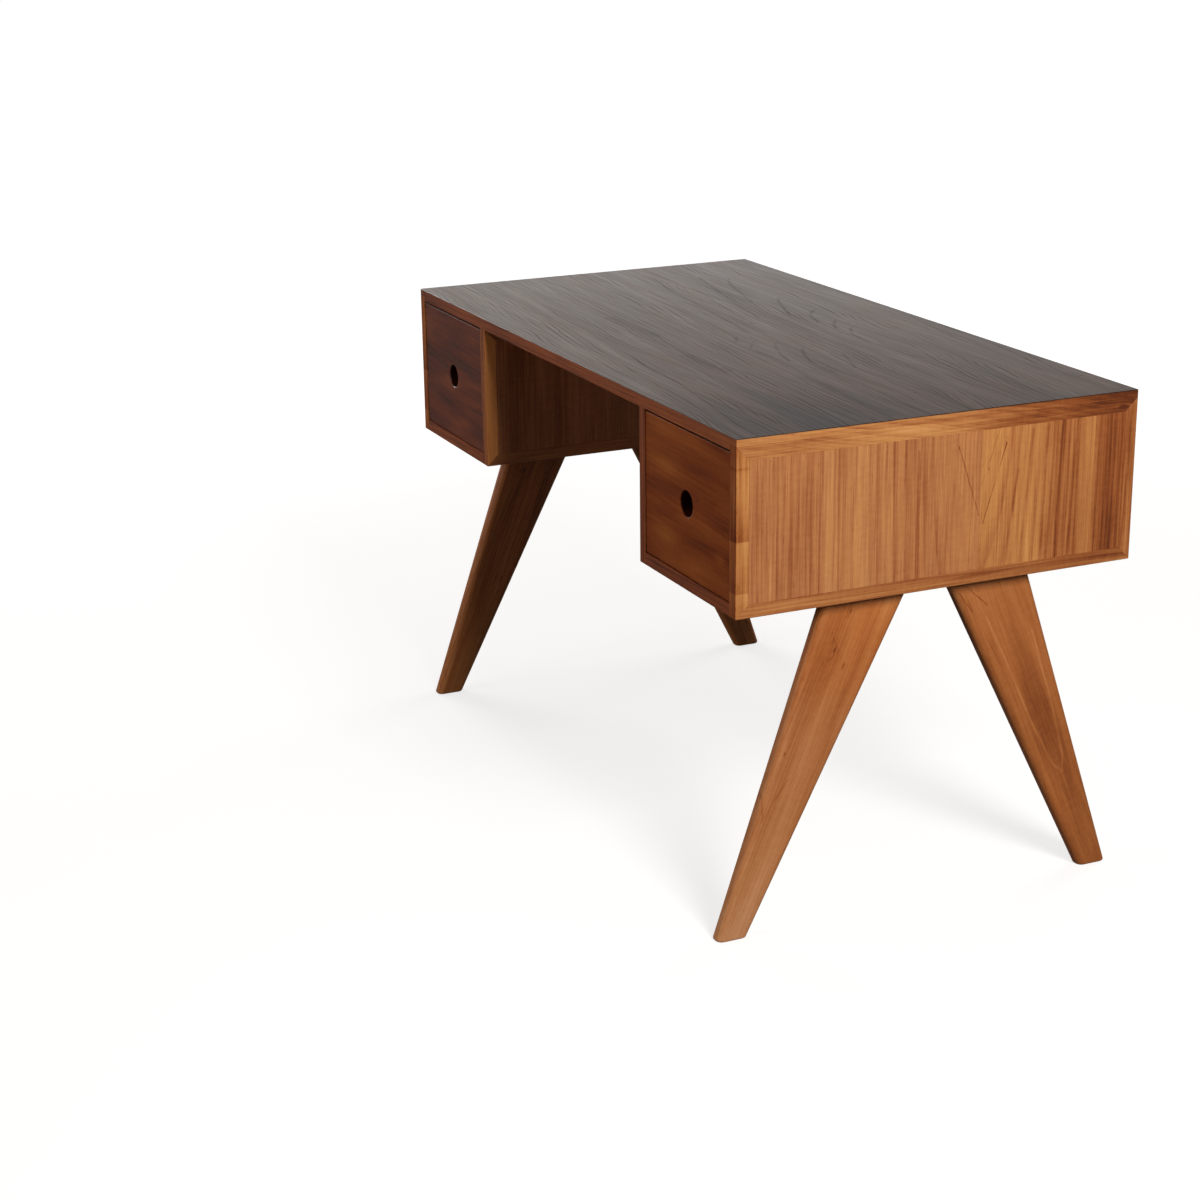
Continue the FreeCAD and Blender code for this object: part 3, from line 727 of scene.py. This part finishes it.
rightFront = {
    "along": alongX, "across": alongZ, "heart": (450, 500, 200), "rise": 0.05, "spacing": 8.0, "wander": 10.0,
    "patches": [((385, 563, drawerFace), (75, 24, 400), 0.32, 0.1),
                ((562, 570, drawerFace), (26, 12, 400), 0.24, 0.1),
                ((385, 664, drawerFace), (95, 20, 400), 0.20, 0.1), holeShade("right_drawer_front")],
    "knots": [((491, 636, drawerFace), 2.0)], "shading": frontGaps("right_drawer_front"),
}
leftFront = {
    "along": alongX, "across": alongZ, "heart": (-470, 470, 150), "rise": 0.04, "spacing": 9.0, "wander": 9.0,
    "lift": -0.30, "specular": 0.55, "fibres": 0.14, "bands": 0.14, "lines": 0.08, "edgeRoughness": 0.5,
    "patches": [holeShade("left_drawer_front")], "shading": frontGaps("left_drawer_front"),
}
drawerSide = {
    "along": alongY, "across": alongZ, "heart": (0, 700, 500), "rise": 0.02, "spacing": 6.0, "wander": 7.0,
}
drawerBack = {
    "along": alongX, "across": alongZ, "heart": (0, 700, -200), "rise": 0.02, "spacing": 6.0, "wander": 7.0,
}
drawerBottom = {
    "along": alongX, "across": alongY, "heart": (0, 40, 480), "rise": 0.03, "spacing": 7.0, "wander": 12.0,
}
for side, front in (("right_", rightFront), ("left_", leftFront)):
    dress(side + "drawer_front", frontBrown, front)
    dress(side + "drawer_outer_side", plainInside, drawerSide)
    dress(side + "drawer_inner_side", plainInside, drawerSide)
    dress(side + "drawer_back", plainInside, drawerBack)
    dress(side + "drawer_bottom", plainInside, drawerBottom)
    dress(side + "drawer_pins", plainInside, drawerSide)
print("drawers dressed")

# Legs: the grain follows each leg's lean, from the middle of its top
legStand = {"topMiddle": 99.0, "spread": 211.65, "length": 540}  # the foot stands out by the spread
legLean = Vector((0.0, legStand["spread"], -underside)).normalized()


def downLeg(stops):
    return [("X", 0, legStand["length"], stops)]


legFigures = {
    "right_front_leg": {
        "heart": (0, 95, 20), "rise": 0.012, "spacing": 5.0, "wander": 5.0,
        "lines": 0.16, "pores": 0.32, "fibres": 0.17, "bands": 0.11, "wobble": 1.0,
        # painted light: paler at the top under the case's shadow, and much paler toward the foot where light
        # bounces off the floor
        "shading": downLeg([(0.0, 0.60), (0.2, 0.52), (0.4, 0.56), (0.75, 0.70), (1.0, 0.92)]),
        "colours": [(0.0, (88, 42, 20)), (0.25, (138, 75, 37)), (0.5, (172, 103, 55)), (0.75, (191, 126, 77)),
                    (1.0, (207, 148, 104))],
        "tints": downLeg([(0.0, (255, 238, 206)), (0.2, (255, 243, 218)), (0.4, (255, 255, 255))]),
        "patches": [((4, 40, 12), (60, 30, 120), 0.16, 0.1)],
        "drawnLines": [([(76, -28), (92, -12), (110, -24)], 1.6, -0.20),
                       ([(300, -48), (357, -29), (290, -14)], 1.6, -0.22)],
        "knots": [((33, -17, 12), 2.0), ((110, 5, 12), 3.0), ((92, -19, 12), 2.4), ((255, -34, 12), 1.8)],
        "eyeTone": -0.34,
    },
    "right_back_leg": {
        "heart": (363, 4, -38), "rise": 0.042, "spacing": 7.0, "wander": 5.0,
        "lines": 0.08, "bands": 0.06, "fibres": 0.17, "wobble": 0.8,
        "patches": [((230, 3, 12), (150, 30, 120), -0.15, 0.3)],
        "shading": downLeg([(0.0, 0.52), (0.3, 0.46), (0.7, 0.40), (1.0, 0.40)]),
        "drawnLines": [
            ([(60, -26), (136, -21), (248, -16), (339, -7), (362, 4), (340, 13), (301, 19), (252, 25),
              (204, 29), (120, 36)], 3.0, 0.20),
            ([(362, 4), (520, 6)], 3.0, 0.08), ([(-2, -39), (43, -18)], 1.6, -0.34),
            ([(2, -53), (39, -44)], 1.6, -0.30), ([(20, -44), (150, -30)], 1.6, -0.14)],
    },
    "left_front_leg": {
        "heart": (0, 80, 10), "rise": 0.015, "spacing": 5.0, "wander": 6.0,
        # painted shade: darker at the top, under the case
        "shading": downLeg([(0.0, 0.30), (0.35, 0.46), (1.0, 0.58)]),
        "knots": [((307, 15, 13), 3.6), ((101, -16, 13), 2.8)], "eyeTone": -0.3,
    },
    "left_back_leg": {
        "heart": (200, -30, -45), "rise": 0.035, "spacing": 6.0, "wander": 5.0,
        # painted light: paler toward the foot
        "shading": downLeg([(0.0, 0.46), (0.6, 0.50), (1.0, 0.68)]),
    },
}
for name, figure in legFigures.items():
    way = 1 if "back" in name else -1
    topPoint = Vector((sum(span(name, "X")) / 2, way * legStand["topMiddle"], underside))
    legBoard = {
        "along": (0, legLean.y * way, legLean.z), "across": (0, -legLean.z, legLean.y * way),
        "origin": topPoint / 1000, "edgeTone": 0.0, **figure,
    }
    dress(name, legTeak, legBoard)
print("legs dressed")

# Fasteners
dowel = {"along": alongX, "across": alongY, "heart": (0, 0, 0), "rise": 0.02, "spacing": 4.0, "wander": 2.0}
dress("case_dowels", plainInside, dowel)
zincPlating = {
    "colours": [(0.0, (150, 150, 148)), (1.0, (205, 204, 200))], "roughness": 0.36,
    "haze": (4, 4, 4), "hazeRoughness": 0.08,
}


def plateMaterial(node, plating):
    # zinc-plated steel, a little hazy
    material, tree = newMaterial(node)
    shader = tree.nodes["Principled BSDF"].inputs
    point = tree.nodes.new("ShaderNodeTexCoord").outputs["Object"]
    place = put(tree, "ShaderNodeMapping", {
        "Vector": point, "Scale": millimetre}, vector_type="TEXTURE").outputs[0]
    haze = cloud(tree, place, plating["haze"], 3.0)
    tone = calc(tree, "MULTIPLY_ADD", haze, 0.5, 0.5)
    wire(tree, shader["Base Color"], ramp(tree, tone, plating["colours"]))
    roughness = calc(tree, "MULTIPLY_ADD", haze, plating["hazeRoughness"], plating["roughness"])
    wire(tree, shader["Roughness"], roughness)
    wire(tree, shader["Metallic"], 1.0)
    giveMaterial(node, material)


for name in ("case_screws", "leg_screws"):
    plateMaterial(name, zincPlating)
    dressed.append(name)
print("fasteners dressed:", sorted(set(nodes) - set(dressed)), "left")

# Floor, light and air
studio = {
    "floorSize": 60.0, "floorColour": (165, 164, 162), "bounce": 0.12, "airLight": 0.06,
    "glowNear": 0.72, "glowFar": 1.0, "nearReach": 1.5, "farReach": 6.0,
}
white = (1, 1, 1, 1)


def makeFloor():
    # bright to the camera, but a dim reflector for the desk
    bpy.ops.mesh.primitive_plane_add(size=studio["floorSize"], location=(0, 0, 0))
    floor = bpy.context.object
    floor.name = "studioFloor"
    material, tree = newMaterial("palePaint")
    tree.nodes.clear()
    seen = put(tree, "ShaderNodeBsdfDiffuse", {"Color": stain(studio["floorColour"])})
    point = tree.nodes.new("ShaderNodeTexCoord").outputs["Object"]
    level = put(tree, "ShaderNodeMapRange", {
        "Value": vector(tree, "LENGTH", point),
        "From Min": studio["nearReach"], "From Max": studio["farReach"],
        "To Min": studio["glowNear"], "To Max": studio["glowFar"]}, interpolation_type="SMOOTHSTEP")
    glow = put(tree, "ShaderNodeEmission", {"Color": white, "Strength": level.outputs[0]})
    both = put(tree, "ShaderNodeAddShader", {0: seen.outputs[0], 1: glow.outputs[0]})
    share = studio["bounce"]
    bounced = put(tree, "ShaderNodeBsdfDiffuse", {"Color": (share, share, share, 1)})
    straight = tree.nodes.new("ShaderNodeLightPath").outputs["Is Camera Ray"]
    chosen = put(tree, "ShaderNodeMixShader", {0: straight, 1: bounced.outputs[0], 2: both.outputs[0]})
    put(tree, "ShaderNodeOutputMaterial", {"Surface": chosen.outputs[0]})
    floor.data.materials.append(material)


def makeAir():
    # white to the camera, and a faint light from all sides
    world = bpy.data.worlds.new("studioAir")
    bpy.context.scene.world = world
    world.use_nodes = True
    tree = world.node_tree
    tree.nodes.clear()
    seen = put(tree, "ShaderNodeBackground", {"Color": white, "Strength": 1.0})
    dim = put(tree, "ShaderNodeBackground", {"Color": white, "Strength": studio["airLight"]})
    straight = tree.nodes.new("ShaderNodeLightPath").outputs["Is Camera Ray"]
    chosen = put(tree, "ShaderNodeMixShader", {0: straight, 1: dim.outputs[0], 2: seen.outputs[0]})
    put(tree, "ShaderNodeOutputWorld", {"Surface": chosen.outputs[0]})


def softbox(name, place, target, size, power, colour=(1, 1, 1)):
    light = bpy.data.lights.new(name, "AREA")
    light.shape = "RECTANGLE"
    light.size, light.size_y = size
    light.energy = power
    light.color = colour
    lamp = bpy.data.objects.new(name, light)
    bpy.context.scene.collection.objects.link(lamp)
    lamp.location = place
    lamp.rotation_euler = (Vector(target) - Vector(place)).to_track_quat("-Z", "Y").to_euler()
    lamp.visible_camera = False
    return lamp


makeFloor()
deskMiddle = (0.0, 0.0, 0.5)
softbox("keyRight", (3.3, -0.1, 2.3), (0.4, 0.0, 0.5), (1.0, 1.2), 110, (1.0, 0.97, 0.93))
softbox("frontFill", (-0.3, -4.0, 2.0), deskMiddle, (2.4, 1.8), 42, (1.0, 0.88, 0.76))
backFill = softbox("backFill", (-1.6, 4.2, 2.0), deskMiddle, (2.4, 1.8), 62)
backFill.visible_glossy = False  # no glare on the top
softbox("overhead", (-0.9, 0.4, 2.6), (-0.3, 0.0, 0.7), (1.6, 1.4), 9)
softbox("leftFill", (-4.0, -0.8, 1.6), (0.0, 0.0, 0.45), (2.2, 1.6), 66)
backdrop = softbox(
    "farBackdrop", (-3.6, 1.9, 1.015), (0.0, 0.0, 1.015), (4.0, 0.47), 19.8, (1.0, 0.985, 0.975))
backdrop.visible_diffuse = False  # seen only as a reflection
makeAir()
bpy.context.scene.view_settings.view_transform = "Standard"
print("studio set")

# Camera where the photographer stood
shot = {
    "eye": (3.33387, -1.73635, 1.52700), "lens": 71.2248, "sensor": 36.0, "farthest": 200.0,
    "right": (0.40977, 0.91211, -0.01186), "up": (-0.2782, 0.13734, 0.95065),
}
cameraData = bpy.data.cameras.new("photographer")
cameraData.lens = shot["lens"]
cameraData.sensor_width = shot["sensor"]
cameraData.sensor_fit = "HORIZONTAL"
cameraData.clip_end = shot["farthest"]
camera = bpy.data.objects.new("photographer", cameraData)
bpy.context.scene.collection.objects.link(camera)
right = Vector(shot["right"]).normalized()
back = right.cross(Vector(shot["up"])).normalized()
up = back.cross(right)
turned = Matrix((right, up, back)).transposed().to_4x4()
camera.matrix_world = Matrix.Translation(shot["eye"]) @ turned
bpy.context.scene.camera = camera
print("camera set")
